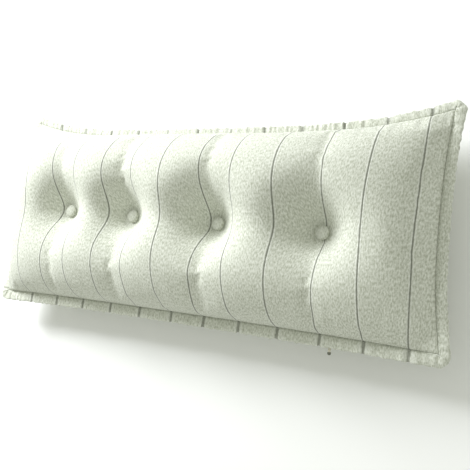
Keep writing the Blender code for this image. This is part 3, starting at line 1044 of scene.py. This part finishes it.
band = band_mesh()
band.materials.append(border_cloth)
band.shade_smooth()
border = add_object("cushion_border", band)
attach(border, "root")
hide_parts("border_top", "border_bottom", "border_left", "border_right")
print("border has", len(band.polygons) * 2, "triangles")

# %% [markdown]
# ## Stitches along the seam
# A row of lock stitches holds the two panels together, on the front and on the back. Stitches
# repeat along a path, so Geometry Nodes set them out: the path becomes a curve, the curve gives
# evenly spaced places with their direction, and a small rounded thread is set at each.

# %% Stitch tree
STITCH_PITCH = 0.0042
STITCH_LENGTH = 0.0032
THREAD_RADIUS = 0.00042
STITCH_INSET = 0.0024
STITCH_SIZES = {"Pitch": STITCH_PITCH, "Length": STITCH_LENGTH, "Thread Radius": THREAD_RADIUS}


def make_stitch_tree(material):
    tree = bpy.data.node_groups.new("stitch rows", "GeometryNodeTree")
    face = tree.interface
    face.new_socket("Rows", in_out="INPUT", socket_type="NodeSocketGeometry")
    sockets = {}
    for name, value in STITCH_SIZES.items():
        socket = face.new_socket(name, in_out="INPUT", socket_type="NodeSocketFloat")
        socket.default_value = value
        sockets[name] = socket.identifier
    face.new_socket("Stitches", in_out="OUTPUT", socket_type="NodeSocketGeometry")
    given = tree.nodes.new("NodeGroupInput")
    path = tree.nodes.new("GeometryNodeMeshToCurve")
    places = tree.nodes.new("GeometryNodeCurveToPoints")
    places.mode = "LENGTH"
    thread = tree.nodes.new("GeometryNodeMeshUVSphere")
    thread.inputs["Segments"].default_value = 6
    thread.inputs["Rings"].default_value = 4
    thread.inputs["Radius"].default_value = 1.0
    shape = tree.nodes.new("ShaderNodeCombineXYZ")
    half = tree.nodes.new("ShaderNodeMath")
    half.operation = "MULTIPLY"
    half.inputs[1].default_value = 0.5
    spread_out = tree.nodes.new("GeometryNodeInstanceOnPoints")
    real = tree.nodes.new("GeometryNodeRealizeInstances")
    finish = tree.nodes.new("GeometryNodeSetMaterial")
    finish.inputs["Material"].default_value = material
    out = tree.nodes.new("NodeGroupOutput")
    link = tree.links.new
    link(given.outputs["Rows"], path.inputs[0])
    link(path.outputs[0], places.inputs["Curve"])
    link(given.outputs["Pitch"], places.inputs["Length"])
    link(given.outputs["Length"], half.inputs[0])
    link(given.outputs["Thread Radius"], shape.inputs[0])
    link(given.outputs["Thread Radius"], shape.inputs[1])
    link(half.outputs[0], shape.inputs[2])
    link(places.outputs["Points"], spread_out.inputs["Points"])
    link(places.outputs["Rotation"], spread_out.inputs["Rotation"])
    link(thread.outputs[0], spread_out.inputs["Instance"])
    link(shape.outputs[0], spread_out.inputs["Scale"])
    link(spread_out.outputs[0], real.inputs[0])
    link(real.outputs[0], finish.inputs["Geometry"])
    link(finish.outputs[0], out.inputs[0])
    return tree, sockets


def make_thread():
    material = bpy.data.materials.new("sewing thread")
    material.use_nodes = True
    tree = material.node_tree
    shader = tree.nodes["Principled BSDF"]
    place = new_node(tree, "ShaderNodeTexCoord").outputs["Object"]
    ply = noise(tree, stretched(tree, place, (900.0, 900.0, 900.0)), 1.0, 2.0)
    colour = blend_colour(tree, ply, (0.60, 0.62, 0.54), (0.42, 0.44, 0.36))
    tree.links.new(colour, shader.inputs["Base Color"])
    shader.inputs["Roughness"].default_value = 0.6
    bump = new_node(tree, "ShaderNodeBump")
    bump.inputs["Distance"].default_value = 0.0001
    tree.links.new(ply, bump.inputs["Height"])
    tree.links.new(bump.outputs[0], shader.inputs["Normal"])
    return material


def stitch_rows_mesh():
    """Two closed rows of points, over and under the border's inner edge."""
    outward = border_outer - border_inner
    outward = outward / np.linalg.norm(outward, axis=1, keepdims=True)
    plan_row = border_inner + outward * STITCH_INSET
    lift = BAND_HALF_THICKNESS * 0.75 + THREAD_RADIUS * 0.4
    points, edges = [], []
    for side in (1, -1):
        start = len(points)
        points += [(x, y, seam_level + side * lift) for x, y in plan_row]
        count = len(plan_row)
        edges += [(start + i, start + (i + 1) % count) for i in range(count)]
    mesh = bpy.data.meshes.new("stitch_rows")
    mesh.from_pydata(points, edges, [])
    return mesh


def made_by_nodes(name, mesh, tree, sockets):
    """Plain mesh object with what the node tree makes from the mesh."""
    carrier = add_object(name + "_path", mesh)
    modifier = carrier.modifiers.new("stitches", "NODES")
    modifier.node_group = tree
    for size, value in STITCH_SIZES.items():
        modifier[sockets[size]] = value
    shown = carrier.evaluated_get(bpy.context.evaluated_depsgraph_get())
    result = bpy.data.meshes.new_from_object(shown)
    carrier.modifiers.remove(modifier)
    bpy.data.objects.remove(carrier)
    return add_object(name, result)


stitches = made_by_nodes("seam_stitches", stitch_rows_mesh(), *make_stitch_tree(make_thread()))
stitches.data.shade_smooth()
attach(stitches, "root")
print("seam stitches have", sum(len(p.vertices) - 2 for p in stitches.data.polygons), "triangles")

# %% [markdown]
# ## Covered buttons
# A tufting button is a metal shell with a disc of the same cloth drawn over it. Its face is a
# low dome, its rim is round, and the cloth's gathers show at the side. It is turned from a
# profile, and the gathers are added to the lower side. Its cloth is drawn a little darker than
# the panels' cloth, as painted shade for the dimple the button sits in.

# %% Buttons
BUTTON_TURNS = 64
GATHERS = 19
GATHER_DEPTH = 0.00035
GATHER_TOP = 0.6
BUTTON_CUT_X = 0.04
BUTTON_PROFILE = (
    (0.80, 0.00), (0.93, 0.06), (0.985, 0.16), (1.00, 0.28), (0.985, 0.42), (0.94, 0.56),
    (0.87, 0.68), (0.76, 0.79), (0.62, 0.88), (0.46, 0.94), (0.30, 0.98), (0.15, 0.995),
)


def button_mesh(number):
    low, high = button_boxes[number]
    middle = (low + high) / 2
    radius = (high[0] - low[0]) / 2
    tall = high[2] - low[2]
    turns = np.linspace(0, 2 * np.pi, BUTTON_TURNS, endpoint=False) + number
    points = []
    for out, up in BUTTON_PROFILE:
        gather = GATHER_DEPTH * max(1 - up / GATHER_TOP, 0) * np.cos(GATHERS * turns)
        reach = radius * out - gather - (GATHER_DEPTH if up < GATHER_TOP else 0)
        level = low[2] + tall * up
        for r, t in zip(reach, turns):
            points.append((middle[0] + r * math.cos(t), middle[1] + r * math.sin(t), level))
    crown = len(points)
    points += [(middle[0], middle[1], high[2]), (middle[0], middle[1], low[2])]
    faces = []
    for ring in range(len(BUTTON_PROFILE) - 1):
        for s in range(BUTTON_TURNS):
            t = (s + 1) % BUTTON_TURNS
            a, b = ring * BUTTON_TURNS, (ring + 1) * BUTTON_TURNS
            faces.append((a + s, a + t, b + t, b + s))
    last = (len(BUTTON_PROFILE) - 1) * BUTTON_TURNS
    for s in range(BUTTON_TURNS):
        t = (s + 1) % BUTTON_TURNS
        faces.append((last + s, last + t, crown))
        faces.append((t, s, crown + 1))
    mesh = bpy.data.meshes.new(f"covered_button_{number + 1}")
    mesh.from_pydata(points, [], faces)
    layer = mesh.uv_layers.new(name="cut")
    for loop in mesh.loops:
        x, y, _ = points[loop.vertex_index]
        layer.data[loop.index].uv = (x - middle[0] + BUTTON_CUT_X, y - middle[1])
    return mesh


for number in range(4):
    disc = button_mesh(number)
    disc.materials.append(button_cloth)
    disc.shade_smooth()
    button = add_object(f"covered_button_{number + 1}", disc)
    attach(button, "root")
    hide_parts(f"button_{number + 1}")
print("four buttons, each", len(disc.polygons), "faces")

# %% [markdown]
# ## Pull of the zip
# The zip is hidden in the bottom seam, and only the end of its pull shows below the border. The
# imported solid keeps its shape, and gets a pale worn metal whose tip is darker.

# %% Zip pull finish
TIP_LENGTH = 0.006


def make_pull_metal():
    low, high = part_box("zip_pull")
    material = bpy.data.materials.new("pull metal")
    material.use_nodes = True
    tree = material.node_tree
    shader = tree.nodes["Principled BSDF"]
    place = new_node(tree, "ShaderNodeTexCoord").outputs["Object"]
    split = new_node(tree, "ShaderNodeSeparateXYZ")
    tree.links.new(place, split.inputs[0])
    brushed = noise(tree, stretched(tree, place, (2500.0, 220.0, 2500.0)), 1.0, 2.0)
    colour = blend_colour(tree, brushed, (0.74, 0.71, 0.60), (0.55, 0.52, 0.42))
    edge = calc(tree, "ADD", split.outputs[1], calc(tree, "MULTIPLY", brushed, 0.0015))
    body_share = ramp(tree, edge, low[1] + TIP_LENGTH, low[1] + TIP_LENGTH + 0.0015)
    colour = blend_colour(tree, body_share, (0.16, 0.165, 0.13), colour)
    tree.links.new(colour, shader.inputs["Base Color"])
    shader.inputs["Metallic"].default_value = 0.35
    tree.links.new(calc(tree, "MULTIPLY_ADD", brushed, 0.3, 0.32), shader.inputs["Roughness"])
    bump = new_node(tree, "ShaderNodeBump")
    bump.inputs["Distance"].default_value = 0.0001
    tree.links.new(brushed, bump.inputs["Height"])
    tree.links.new(bump.outputs[0], shader.inputs["Normal"])
    return material


for slot in nodes["zip_pull"].material_slots:
    slot.material = make_pull_metal()
